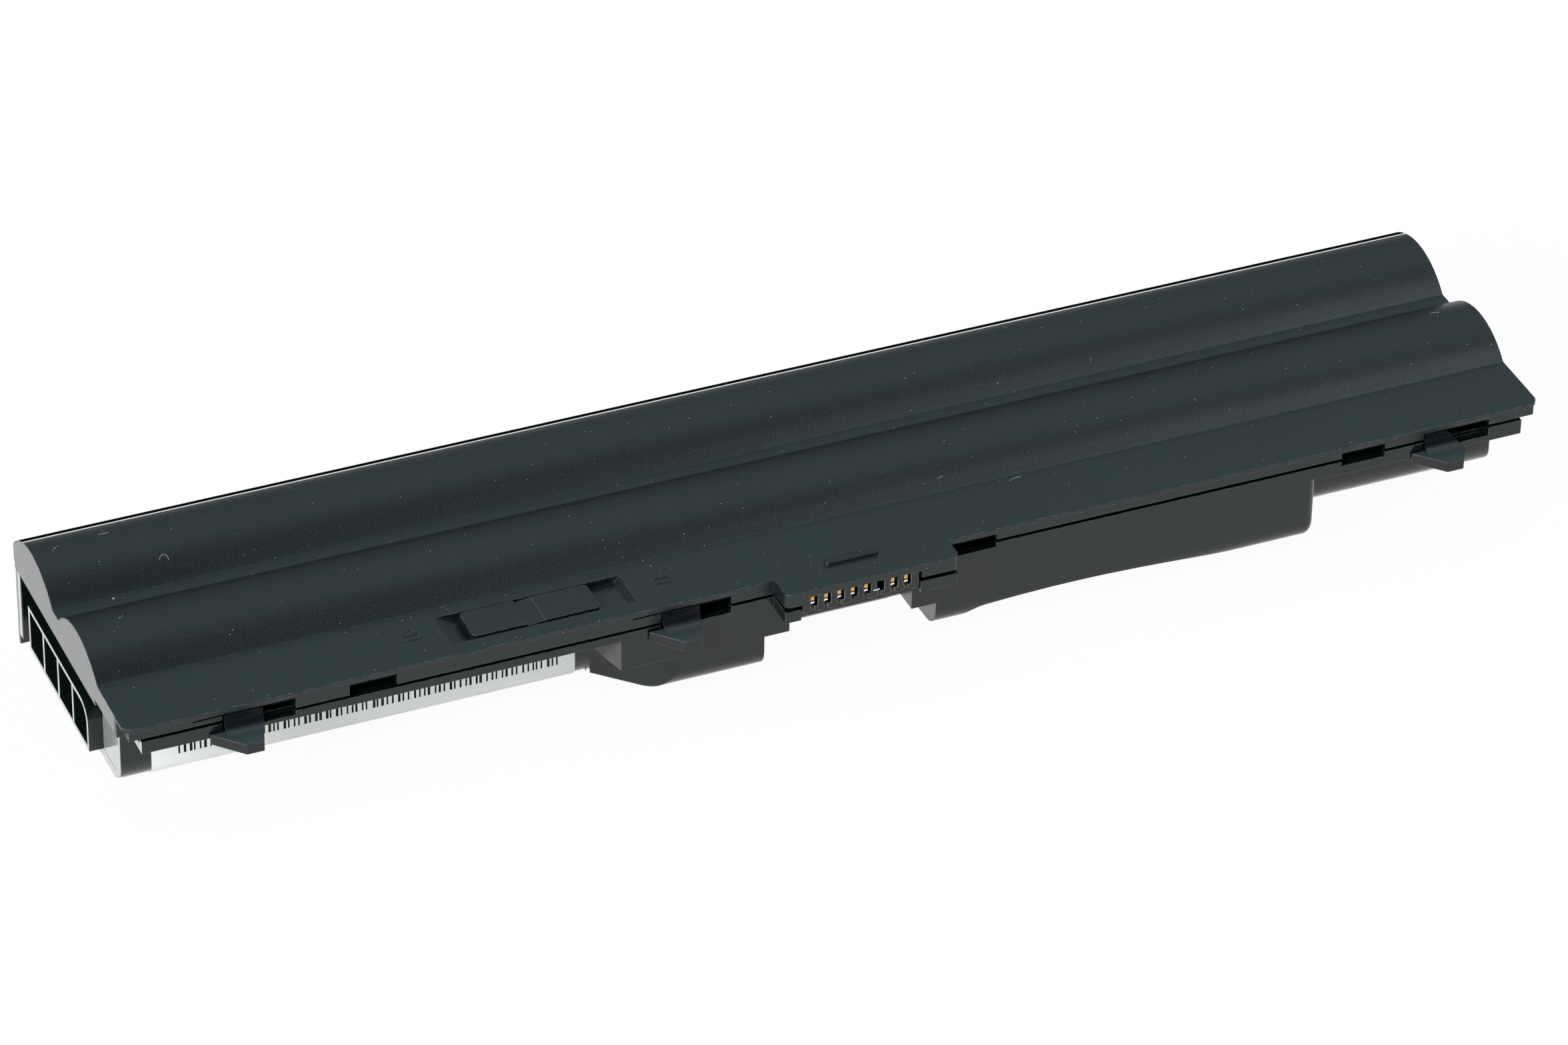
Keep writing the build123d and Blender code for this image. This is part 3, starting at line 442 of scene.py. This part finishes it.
def printed_paper(name):
    """White paper with a row of chance bars in its upper part."""
    wire, shader, material = new_finish(name)
    low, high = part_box("label")
    place = wire.add("ShaderNodeTexCoord", output="Object")
    along = along_axis(wire, "Object", "X")
    height = along_axis(wire, "Object", "Z")
    turn = along * (1 / BAR_PITCH)
    cell = turn.maths("FLOOR")
    chance = by_chance(wire, cell)
    shift = by_chance(wire, cell + 0.5) * 0.45
    after_start = along.maths("GREATER_THAN", low.x + BAR_MARGINS[0])
    in_row = after_start * along.maths("LESS_THAN", high.x - BAR_MARGINS[1])
    turn = turn - cell - shift
    in_bar = turn.maths("GREATER_THAN", 0.0) * turn.maths("LESS_THAN", chance.step(0.3, 0.9) * 0.2 + 0.33)
    bars = in_bar * in_row * height.maths("GREATER_THAN", BAR_LOW_Z)
    fibre = noise(wire, place, 0.25 * MM, 4.0)
    paper = fibre.blend((0.87, 0.875, 0.85, 1), (0.91, 0.915, 0.89, 1))
    connect(bars.blend(paper, (0.006, 0.006, 0.007, 1)), shader, "Base Color")
    shader.inputs["Specular IOR Level"].default_value = 0.15
    connect(0.42 + fibre * 0.1 - bars * 0.12, shader, "Roughness")
    sockets = {"Height": fibre, "Distance": 0.004 * MM}
    connect(wire.add("ShaderNodeBump", {}, sockets), shader, "Normal")
    return material


dress(printed_paper("printed_paper"), "label")

# %% [markdown]
# The contacts are gold over spring metal, a little scratched by the plugs that have met them. Metal needs
# a metallic value of 1, a warm base colour and fine streaks along the blade.

# %% Finish of the metals
# Painted reflection on the contact tips: a dark band, then a white glint at the very tip.
TIP_SHADE_AND_GLINT = ((0.45 * MM, (0.02, 0.016, 0.012, 1)), (0.22 * MM, (0.95, 0.94, 0.92, 1)))


def streaked_metal(name, bright, dull, roughness, streak, painted_tip_z=None):
    """Bare metal with streaks drawn out along one direction, and below that height a painted dark band and a
    painted white glint at the tip.
    """
    wire, shader, material = new_finish(name)
    place = wire.add("ShaderNodeTexCoord", output="Object")
    drawn = wire.add("ShaderNodeMapping", {}, {"Vector": place, "Scale": streak})
    grain = noise(wire, drawn, 0.3 * MM, 3.0)
    stain = noise(wire, place, 2.5 * MM)
    colour = (grain * 0.5 + stain * 0.5).blend(bright, dull)
    if painted_tip_z:
        height = along_axis(wire, "Object", "Z")
        for band_top, painted_tone in TIP_SHADE_AND_GLINT:
            band = 1.0 - height.step(painted_tip_z + band_top, painted_tip_z + band_top + 0.05 * MM)
            colour = band.blend(colour, painted_tone)
    connect(colour, shader, "Base Color")
    connect(roughness + grain * 0.15, shader, "Roughness")
    shader.inputs["Metallic"].default_value = 1.0
    sockets = {"Height": grain, "Distance": 0.004 * MM}
    connect(wire.add("ShaderNodeBump", {}, sockets), shader, "Normal")
    return material


contact_names = sorted(name for name in nodes if name.startswith("contact_"))
strip_names = sorted(name for name in nodes if "_strip_" in name)
blade_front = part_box("contact_1")[0].y + 0.2 * MM
blade_tip = min(v.co.z for v in nodes["contact_1"].data.vertices if v.co.y < blade_front)
gold_finish = streaked_metal(
    "worn_gold",
    bright=(0.86, 0.50, 0.14, 1),
    dull=(0.55, 0.27, 0.06, 1),
    roughness=0.22,
    streak=(4, 0.4, 0.4),
    painted_tip_z=blade_tip,
)
print("contact tips at mm", round(blade_tip / MM, 2))
nickel_finish = streaked_metal(
    "nickel_strip",
    bright=(0.66, 0.64, 0.58, 1),
    dull=(0.5, 0.48, 0.44, 1),
    roughness=0.3,
    streak=(1, 0.2, 1),
)
dress(gold_finish, *contact_names)
dress(nickel_finish, *strip_names)

# %% [markdown]
# The pieces inside never show while the case is shut, but a reader may open it. Each gets a plain finish
# of its own kind: a shrink sleeve on the cells, grey card, open foam, lacquered board and chip bodies.

# %% Finishes inside the case


def mottled(name, first, second, roughness, size, bump):
    """A two-tone mottled finish with a bump of the same pattern."""
    wire, shader, material = new_finish(name)
    place = wire.add("ShaderNodeTexCoord", output="Object")
    spots = noise(wire, place, size, 4.0)
    connect(spots.step(0.3, 0.7).blend(first, second), shader, "Base Color")
    connect(roughness + spots * 0.1, shader, "Roughness")
    sockets = {"Height": spots, "Distance": bump}
    connect(wire.add("ShaderNodeBump", {}, sockets), shader, "Normal")
    return material


cell_names = sorted(name for name in nodes if name.startswith("cell_"))
card_names = sorted(name for name in nodes if name.startswith("end_card_"))
chip_names = ["gauge_chip", "power_switches", "thermal_fuse", "sense_resistor", "capacitors"]
sleeve = mottled("sleeve", (0.10, 0.22, 0.30, 1), (0.12, 0.26, 0.34, 1), 0.32, 6 * MM, 0.004 * MM)
card = mottled("grey_card", (0.20, 0.22, 0.20, 1), (0.27, 0.29, 0.26, 1), 0.7, 0.6 * MM, 0.02 * MM)
foam = mottled("open_foam", (0.035, 0.035, 0.037, 1), (0.08, 0.08, 0.08, 1), 0.9, 0.5 * MM, 0.2 * MM)
lacquer_tones = ((0.004, 0.007, 0.006, 1), (0.007, 0.012, 0.009, 1))
lacquer = mottled("board_lacquer", *lacquer_tones, 0.35, 1.4 * MM, 0.01 * MM)
chip = mottled("chip_body", (0.016, 0.016, 0.017, 1), (0.03, 0.03, 0.03, 1), 0.5, 0.2 * MM, 0.004 * MM)
dress(sleeve, *cell_names)
dress(card, *card_names)
dress(foam, "foam_strip")
dress(lacquer, "circuit_board")
dress(chip, *chip_names)

# %% [markdown]
# Behind the front wall each end of the lower shell is closed by a plain wall with a round lower corner. Its
# outer face takes the satin finish's pale end tone, a painted reflection of the white floor. A cube is set to
# its size and place, and the edge at its lower front is bevelled in steps.

# %% End walls
END_WALL_X = (99.6 * MM, 100.38 * MM)
END_WALL_Y = (-12.6 * MM, -6.1 * MM)
END_WALL_Z = (0.9 * MM, 11.4 * MM)
END_WALL_ROUND = 2.6 * MM


def start_block(name, low, high):
    """A cube between two corners, left in edit mode with nothing selected."""
    bpy.ops.object.select_all(action="DESELECT")
    middle = (Vector(low) + Vector(high)) / 2
    bpy.ops.mesh.primitive_cube_add(size=1, location=middle)
    piece = bpy.context.object
    piece.name = name
    bpy.ops.object.mode_set(mode="EDIT")
    bpy.ops.transform.resize(value=Vector(high) - Vector(low), center_override=middle)
    bpy.ops.mesh.select_all(action="DESELECT")
    bpy.ops.object.mode_set(mode="OBJECT")
    bpy.ops.object.transform_apply(location=True, rotation=True, scale=True)
    return piece


def round_edges(piece, chosen, radius, segments):
    """Bevels the edges that a test on their two ends chooses."""
    for edge in piece.data.edges:
        edge.select = all(chosen(piece.data.vertices[index].co) for index in edge.vertices)
    bpy.ops.object.mode_set(mode="EDIT")
    bpy.ops.mesh.select_mode(type="EDGE")
    bpy.ops.mesh.bevel(offset=radius, segments=segments, affect="EDGES")
    bpy.ops.object.mode_set(mode="OBJECT")


def hand_in(piece, finish, body="case"):
    """Gives a new piece its finish and the body that it rides on."""
    piece.data.materials.clear()
    piece.data.materials.append(finish)
    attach(piece, body)
    print(piece.name, "with", len(piece.data.polygons), "faces rides on", body)


for side, end_name in ((-1, "left"), (1, "right")):
    low_x, high_x = sorted(side * x for x in END_WALL_X)
    low = (low_x, END_WALL_Y[0], END_WALL_Z[0])
    high = (high_x, END_WALL_Y[1], END_WALL_Z[1])
    end_wall = start_block("end_wall_" + end_name, low, high)
    lower_front = END_WALL_Y[0] + 0.1 * MM, END_WALL_Z[0] + 0.1 * MM
    round_edges(end_wall, lambda co: co.y < lower_front[0] and co.z < lower_front[1], END_WALL_ROUND, 6)
    hand_in(end_wall, lower_finish)

# %% [markdown]
# At the rear of each end a narrow post carries the upper shell's end wall. It is a block whose outer edges
# are rounded.

# %% End posts
POST_X = (100.4 * MM, 102.3 * MM)
POST_Y = (22.1 * MM, 23.5 * MM)
POST_Z = (1.6 * MM, 13.4 * MM)

for side, end_name in ((-1, "left"), (1, "right")):
    low_x, high_x = sorted(side * x for x in POST_X)
    post = start_block("end_post_" + end_name, (low_x, POST_Y[0], POST_Z[0]), (high_x, POST_Y[1], POST_Z[1]))
    outer_x = POST_X[1] - 0.1 * MM
    round_edges(post, lambda co: abs(co.x) > outer_x, 0.15 * MM, 2)
    # The post's outer face is painted pale by the satin finish's end tone, a painted reflection.
    hand_in(post, lower_finish)

# %% [markdown]
# A short tinned key stands in the empty place of the comb, between the fifth and the sixth contact. It is a
# small block with all its edges rounded.

# %% Key in the comb
KEY_X = 1.55 * MM
KEY_Z = 14.4 * MM
KEY_SIZE = (0.95 * MM, 0.4 * MM, 0.25 * MM)
KEY_PROUD = 0.04 * MM

comb_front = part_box("connector_housing")[0].y
key_low = Vector((KEY_X - KEY_SIZE[0] / 2, comb_front - KEY_PROUD, KEY_Z - KEY_SIZE[2] / 2))
key = start_block("comb_key", key_low, key_low + Vector(KEY_SIZE))
round_edges(key, lambda co: True, 0.08 * MM, 2)
tinned_finish = streaked_metal("tinned", (0.92, 0.91, 0.88, 1), (0.8, 0.79, 0.76, 1), 0.3, (1, 1, 1))
hand_in(key, tinned_finish)

# %% [markdown]
# Two small padlock outlines stand out of the flange beside the knob, one shut and one open, and tell
# which way the latch slides. A body is a plane whose inset leaves a frame, a bow is a circle widened to
# a ring and cut in half, and both are extruded by the height of the mark.

# %% Lock marks
MARK_LINE = 0.15 * MM
MARK_HEIGHT = 0.07 * MM
MARK_SINK = 0.02 * MM
BOW_RADIUS = 0.95 * MM


def raise_mark(piece):
    """Extrudes a flat outline upwards to a closed bead and sets its place in its mesh."""
    bpy.ops.mesh.select_all(action="SELECT")
    bpy.ops.mesh.extrude_region_move(TRANSFORM_OT_translate={"value": (0, 0, MARK_HEIGHT + MARK_SINK)})
    bpy.ops.mesh.select_all(action="SELECT")
    bpy.ops.mesh.normals_make_consistent(inside=False)
    bpy.ops.object.mode_set(mode="OBJECT")
    bpy.ops.object.transform_apply(location=True, rotation=True, scale=True)
    return piece


def lock_body(name, centre, size):
    """The frame of a padlock's body."""
    place = (centre[0], centre[1], FLANGE_Z - MARK_SINK)
    bpy.ops.object.select_all(action="DESELECT")
    bpy.ops.mesh.primitive_plane_add(size=1, location=place)
    piece = bpy.context.object
    piece.name = name
    bpy.ops.object.mode_set(mode="EDIT")
    bpy.ops.mesh.select_mode(type="FACE")
    bpy.ops.mesh.select_all(action="SELECT")
    bpy.ops.transform.resize(value=(size[0], size[1], 1), center_override=place)
    bpy.ops.mesh.inset(thickness=MARK_LINE)
    bpy.ops.mesh.delete(type="FACE")
    return raise_mark(piece)


def lock_bow(name, centre, leg):
    """The half ring of a padlock's bow, with its left leg drawn down."""
    place = (centre[0], centre[1], FLANGE_Z - MARK_SINK)
    bpy.ops.object.select_all(action="DESELECT")
    bpy.ops.mesh.primitive_circle_add(vertices=28, radius=BOW_RADIUS, fill_type="NOTHING", location=place)
    piece = bpy.context.object
    piece.name = name
    bpy.ops.object.mode_set(mode="EDIT")
    bpy.ops.mesh.select_mode(type="EDGE")
    bpy.ops.mesh.select_all(action="SELECT")
    bpy.ops.mesh.extrude_region_move()
    wider = 1 + MARK_LINE / BOW_RADIUS
    bpy.ops.transform.resize(value=(wider, wider, 1), center_override=place)
    bpy.ops.mesh.select_all(action="SELECT")
    bpy.ops.mesh.bisect(plane_co=place, plane_no=(0, 1, 0), clear_inner=True)
    bpy.ops.object.mode_set(mode="OBJECT")
    if leg:
        ends = piece.data.vertices
        for edge in piece.data.edges:
            edge.select = all(abs(ends[i].co.y) < 0.01 * MM and ends[i].co.x < 0 for i in edge.vertices)
        bpy.ops.object.mode_set(mode="EDIT")
        bpy.ops.mesh.extrude_region_move(TRANSFORM_OT_translate={"value": (0, -leg, 0)})
    else:
        bpy.ops.object.mode_set(mode="EDIT")
    return raise_mark(piece)


marks = (
    lock_body("shut_mark_body", centre=(-60.87 * MM, -16.34 * MM), size=(2.5 * MM, 1.2 * MM)),
    lock_bow("shut_mark_bow", centre=(-60.87 * MM, -15.74 * MM), leg=0),
    lock_body("open_mark_body", centre=(-25.55 * MM, -16.48 * MM), size=(2.5 * MM, 1.3 * MM)),
    lock_bow("open_mark_bow", centre=(-24.1 * MM, -15.1 * MM), leg=0.73 * MM),
)
for mark in marks:
    hand_in(mark, upper_finish)

# %% [markdown]
# Dust on black plastic is seen at once. Fine specks are in the finish already, and what is larger is
# modelled: a few fibres, each a curve laid on the shell and made a mesh, and some crumbs, each a ball
# pressed flat and made uneven. A ray cast down on the shell gives the height at which each lies.

# %% Fibres and crumbs
FIBRE_RADIUS = 0.025 * MM
FIBRES = {
    "fibre_arc": ((-86.6, 9.9), (-86.3, 10.6), (-85.7, 10.7), (-85.3, 10.2), (-85.4, 9.6)),
    "fibre_long": ((-92.9, 16.2), (-92.5, 16.6), (-92.1, 16.3), (-91.7, 16.2), (-91.4, 16.5)),
    "fibre_hair": ((26.9, -12.5), (27.3, -12.0), (27.8, -12.2), (28.3, -11.9), (28.7, -12.1)),
    "fibre_right": ((96.1, -1.1), (96.4, -0.7), (96.8, -1.0), (97.1, -0.8), (97.4, -1.2)),
    "fibre_short": ((17.3, -10.0), (17.5, -9.8), (17.8, -9.9), (18.0, -9.7), (18.2, -9.8)),
}
CRUMBS = (
    (-94.19, 6.72, 0.26),
    (-99.25, 15.52, 0.16),
    (-98.7, 15.9, 0.12),
    (-99.6, 15.1, 0.12),
    (-96.25, -2.48, 0.16),
    (-95.8, -2.2, 0.11),
    (-60.65, -12.26, 0.14),
    (-25.62, -12.86, 0.14),
    (44.2, 15.4, 0.12),
    (71.5, -5.8, 0.13),
)
wire, shader, lint_finish = new_finish("lint")
tone = noise(wire, wire.add("ShaderNodeTexCoord", output="Object"), 0.2 * MM)
connect(tone.blend((0.36, 0.37, 0.35, 1), (0.62, 0.62, 0.59, 1)), shader, "Base Color")
shader.inputs["Roughness"].default_value = 0.9
bpy.context.view_layer.update()


def on_shell(x, y):
    """The point of the upper shell under that place, given in millimetres."""
    _, place, _, _ = nodes["upper_shell"].ray_cast((x * MM, y * MM, 50 * MM), (0, 0, -1))
    return place


for name, line in FIBRES.items():
    bpy.ops.object.select_all(action="DESELECT")
    bpy.ops.curve.primitive_nurbs_path_add(location=(0, 0, 0))
    fibre = bpy.context.object
    fibre.name = name
    for point, (x, y) in zip(fibre.data.splines[0].points, line):
        point.co = (*(on_shell(x, y) + Vector((0, 0, FIBRE_RADIUS))), 1)
    fibre.data.bevel_depth = FIBRE_RADIUS
    fibre.data.bevel_resolution = 1
    bpy.ops.object.convert(target="MESH")
    hand_in(bpy.context.object, lint_finish)

for number, (x, y, size) in enumerate(CRUMBS):
    place = on_shell(x, y)
    bpy.ops.object.select_all(action="DESELECT")
    bpy.ops.mesh.primitive_ico_sphere_add(subdivisions=2, radius=size / 2 * MM, location=place)
    crumb = bpy.context.object
    crumb.name = "crumb_" + str(number + 1)
    bpy.ops.object.mode_set(mode="EDIT")
    bpy.ops.transform.resize(value=(1.3, 0.9, 0.6), center_override=place)
    bpy.ops.transform.vertex_random(offset=size * 0.12 * MM, seed=number + 1)
    bpy.ops.object.mode_set(mode="OBJECT")
    bpy.ops.object.transform_apply(location=True, rotation=True, scale=True)
    hand_in(crumb, lint_finish)

# %% [markdown]
# The battery lies on a white table in a light tent. The floor is white paint: it takes the soft shadow,
# and for the camera and for mirror rays it is topped up to full white, so that the background stays
# white and the satin faces have something bright to mirror.

# %% Floor
FLOOR_SIZE = 6.0
FLOOR_TOP_UP = 0.96
bpy.ops.object.select_all(action="DESELECT")
bpy.ops.mesh.primitive_plane_add(size=FLOOR_SIZE, location=(0, 0, cad_box[0].z - 0.02 * MM))
floor = bpy.context.object
floor.name = "floor"


def seen_directly(wire):
    """1 for rays from the camera and from mirrors or glass, 0 for the rest."""
    path = wire.add("ShaderNodeLightPath", output="Is Camera Ray")
    mirrored = wire.add("ShaderNodeLightPath", output="Is Glossy Ray")
    through = wire.add("ShaderNodeLightPath", output="Is Transmission Ray")
    return path.maths("MAXIMUM", mirrored).maths("MAXIMUM", through)


wire, shader, floor_paint = new_finish("floor_paint")
shader.inputs["Base Color"].default_value = (0.92, 0.92, 0.92, 1)
shader.inputs["Roughness"].default_value = 0.9
shader.inputs["Specular IOR Level"].default_value = 0.0
glow = wire.add("ShaderNodeEmission", {}, {"Color": (1, 1, 1, 1), "Strength": 1.0})
lit = Wire(wire.tree, shader.outputs[0])
both = wire.add("ShaderNodeMixShader", {}, {0: seen_directly(wire) * FLOOR_TOP_UP, 1: lit, 2: glow})
wire.tree.links.new(both.socket, wire.tree.nodes["Material Output"].inputs["Surface"])
floor.data.materials.append(floor_paint)
print("floor of", FLOOR_SIZE, "m at", floor.location.z)

# %% [markdown]
# The tent is soft. Black plastic shows little but what it mirrors, so the tent is painted along the arc that
# the faces mirror: dim at the back, brightest overhead, and dim and bluish above the camera. A ramp on
# the angle of that arc does it. A large lamp on the left lights the paper and the floor from where no
# face mirrors it, and a small one on the right lifts the front slopes towards that end.

# %% Tent and lamps
TENT = (
    (0.00, (0.14, 0.16, 0.17, 1)),
    (0.08, (0.20, 0.24, 0.26, 1)),
    (0.19, (0.42, 0.55, 0.58, 1)),
    (0.36, (0.74, 0.95, 0.98, 1)),
    (0.46, (0.76, 0.97, 1.00, 1)),
    (0.54, (0.30, 0.36, 0.42, 1)),
    (0.63, (0.09, 0.11, 0.15, 1)),
    (0.80, (0.08, 0.09, 0.12, 1)),
    (1.00, (0.08, 0.09, 0.10, 1)),
)
world = bpy.data.worlds.new("tent")
bpy.context.scene.world = world
world.use_nodes = True
world.node_tree.nodes.clear()
wire = Wire(world.node_tree)
way = wire.add("ShaderNodeTexCoord", output="Generated")
towards_back = wire.add("ShaderNodeSeparateXYZ", sockets={0: way}, output="Y")
up = wire.add("ShaderNodeSeparateXYZ", sockets={0: way}, output="Z")
arc = up.maths("ARCTAN2", towards_back) * (1 / math.pi)
tent = wire.add("ShaderNodeValToRGB", {"stops": TENT}, {"Fac": arc})
direct = wire.add("ShaderNodeLightPath", output="Is Camera Ray")
sky = wire.add("ShaderNodeBackground", {}, {"Color": direct.blend(tent, (1, 1, 1, 1)), "Strength": 1.0})
ending = world.node_tree.nodes.new("ShaderNodeOutputWorld")
world.node_tree.links.new(sky.socket, ending.inputs["Surface"])


def softbox(name, place, aim, size, power, tint):
    """A square area lamp at a place, turned to its aim."""
    lamp = bpy.data.lights.new(name, "AREA")
    lamp.size = size
    lamp.energy = power
    lamp.color = tint
    holder = bpy.data.objects.new(name, lamp)
    holder.location = place
    holder.rotation_euler = (Vector(aim) - Vector(place)).to_track_quat("-Z", "Y").to_euler()
    bpy.context.scene.collection.objects.link(holder)
    return holder


softbox("left_lamp", (-1.45, -0.62, 1.1), (0, 0, 0), 1.0, 32, (1.0, 1.0, 0.99))
softbox("low_lamp", (-1.2, -1.2, 0.25), (0, 0, 0), 0.8, 11, (1.0, 0.99, 0.96))
softbox("right_lamp", (0.45, -0.35, 0.6), (0.08, 0, 0.02), 0.35, 1.05, (0.90, 1.0, 1.0))
print("tent and lamps ready")

# %% [markdown]
# The camera stands where the photograph was taken: to the left of the front, well above, far away with a
# long lens, and leaning a little. The angles and the place were fitted to the picture's own edges.

# %% Camera
CAMERA_PLACE = (-0.33526, -0.77192, 0.60160)
AZIMUTH = math.radians(-23.424)
ELEVATION = math.radians(35.162)
LEAN = math.radians(1.026)
FOCAL_PIXELS = 11356.1
PHOTO_WIDTH = 2352
SENSOR = 36.0
back = Vector(
    (
        math.sin(AZIMUTH) * math.cos(ELEVATION),
        -math.cos(AZIMUTH) * math.cos(ELEVATION),
        math.sin(ELEVATION),
    )
)
lens = bpy.data.cameras.new("photo_camera")
lens.sensor_fit = "HORIZONTAL"
lens.sensor_width = SENSOR
lens.lens = FOCAL_PIXELS / PHOTO_WIDTH * SENSOR
lens.clip_start = 0.01
lens.clip_end = 50.0
camera = bpy.data.objects.new("photo_camera", lens)
camera.location = CAMERA_PLACE
camera.rotation_mode = "QUATERNION"
camera.rotation_quaternion = (-back).to_track_quat("-Z", "Y") @ Quaternion((0, 0, 1), LEAN)
bpy.context.scene.collection.objects.link(camera)
bpy.context.scene.camera = camera
bpy.context.scene.view_settings.view_transform = "Standard"
print("camera with a lens of mm", round(lens.lens, 1))
